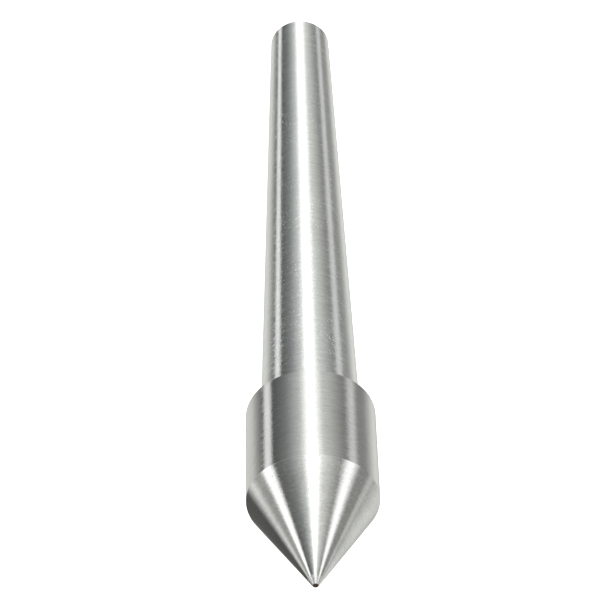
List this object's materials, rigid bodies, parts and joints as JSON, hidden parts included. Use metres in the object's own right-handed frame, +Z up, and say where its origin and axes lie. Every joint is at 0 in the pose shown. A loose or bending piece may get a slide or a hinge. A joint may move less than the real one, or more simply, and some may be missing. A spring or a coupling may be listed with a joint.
{
  "type": "live center",
  "caption": "Live center for a lathe tailstock: slim Morse taper shank and a turning head with a 60 degree point, carried on small ball bearings round a fixed spindle.",
  "frame": {"origin": "where the turning axis crosses the gauge plane of the Morse taper, 3 mm behind the shank's big end", "axes": "-Y along the turning axis towards the point, +Y towards the shank's small end, +Z up"},
  "size_m": [0.012, 0.0778, 0.012],
  "materials": {
    "ground_shank_steel": "fine ground, satin to bright",
    "hardened_point_steel": "hardened and ground, bright, fine turning marks",
    "spindle_steel": "ground",
    "bearing_steel": "honed bearing steel",
    "ball_steel": "polished",
    "cage_brass": "pressed and machined brass",
    "shield_steel": "pressed sheet, satin",
    "black_spring_steel": "phosphated black, oiled",
    "grey_felt": "dense wool felt"
  },
  "bodies": {
    "shank": {"taper_shank": "ground_shank_steel", "spindle": "spindle_steel", "spindle_circlip": "black_spring_steel", "thrust_spacer": "bearing_steel", "rear_bearing_inner_ring": "bearing_steel", "thrust_shaft_washer": "bearing_steel", "front_bearing_inner_ring": "bearing_steel"},
    "head": {"point_head": "hardened_point_steel", "felt_dust_seal": "grey_felt", "head_circlip": "black_spring_steel", "rear_bearing_outer_ring": "bearing_steel", "rear_bearing_shield_rear": "shield_steel", "rear_bearing_shield_front": "shield_steel", "thrust_housing_washer": "bearing_steel", "front_bearing_outer_ring": "bearing_steel"},
    "rear_cage": {"rear_bearing_cage": "cage_brass", "rear_bearing_ball_1": "ball_steel", "rear_bearing_ball_2": "ball_steel", "rear_bearing_ball_3": "ball_steel", "rear_bearing_ball_4": "ball_steel", "rear_bearing_ball_5": "ball_steel", "rear_bearing_ball_6": "ball_steel", "rear_bearing_ball_7": "ball_steel"},
    "thrust_cage": {"thrust_cage": "cage_brass", "thrust_ball_1": "ball_steel", "thrust_ball_2": "ball_steel", "thrust_ball_3": "ball_steel", "thrust_ball_4": "ball_steel", "thrust_ball_5": "ball_steel", "thrust_ball_6": "ball_steel", "thrust_ball_7": "ball_steel", "thrust_ball_8": "ball_steel"},
    "front_cage": {"front_bearing_cage": "cage_brass", "front_bearing_ball_1": "ball_steel", "front_bearing_ball_2": "ball_steel", "front_bearing_ball_3": "ball_steel", "front_bearing_ball_4": "ball_steel", "front_bearing_ball_5": "ball_steel", "front_bearing_ball_6": "ball_steel", "front_bearing_ball_7": "ball_steel"}
  },
  "joints": [
    {"name": "head_spin", "type": "hinge", "parent": "shank", "child": "head", "pos_m": [0, 0, 0], "axis": [0, -1, 0], "continuous": true},
    {"name": "rear_cage_spin", "type": "hinge", "parent": "shank", "child": "rear_cage", "pos_m": [0, 0, 0], "axis": [0, -1, 0], "continuous": true},
    {"name": "thrust_cage_spin", "type": "hinge", "parent": "shank", "child": "thrust_cage", "pos_m": [0, 0, 0], "axis": [0, -1, 0], "continuous": true},
    {"name": "front_cage_spin", "type": "hinge", "parent": "shank", "child": "front_cage", "pos_m": [0, 0, 0], "axis": [0, -1, 0], "continuous": true}
  ],
  "couplings": [
    {"joint": "rear_cage_spin", "follows": "head_spin", "ratio": 0.62212},
    {"joint": "thrust_cage_spin", "follows": "head_spin", "ratio": 0.5},
    {"joint": "front_cage_spin", "follows": "head_spin", "ratio": 0.61111}
  ]
}
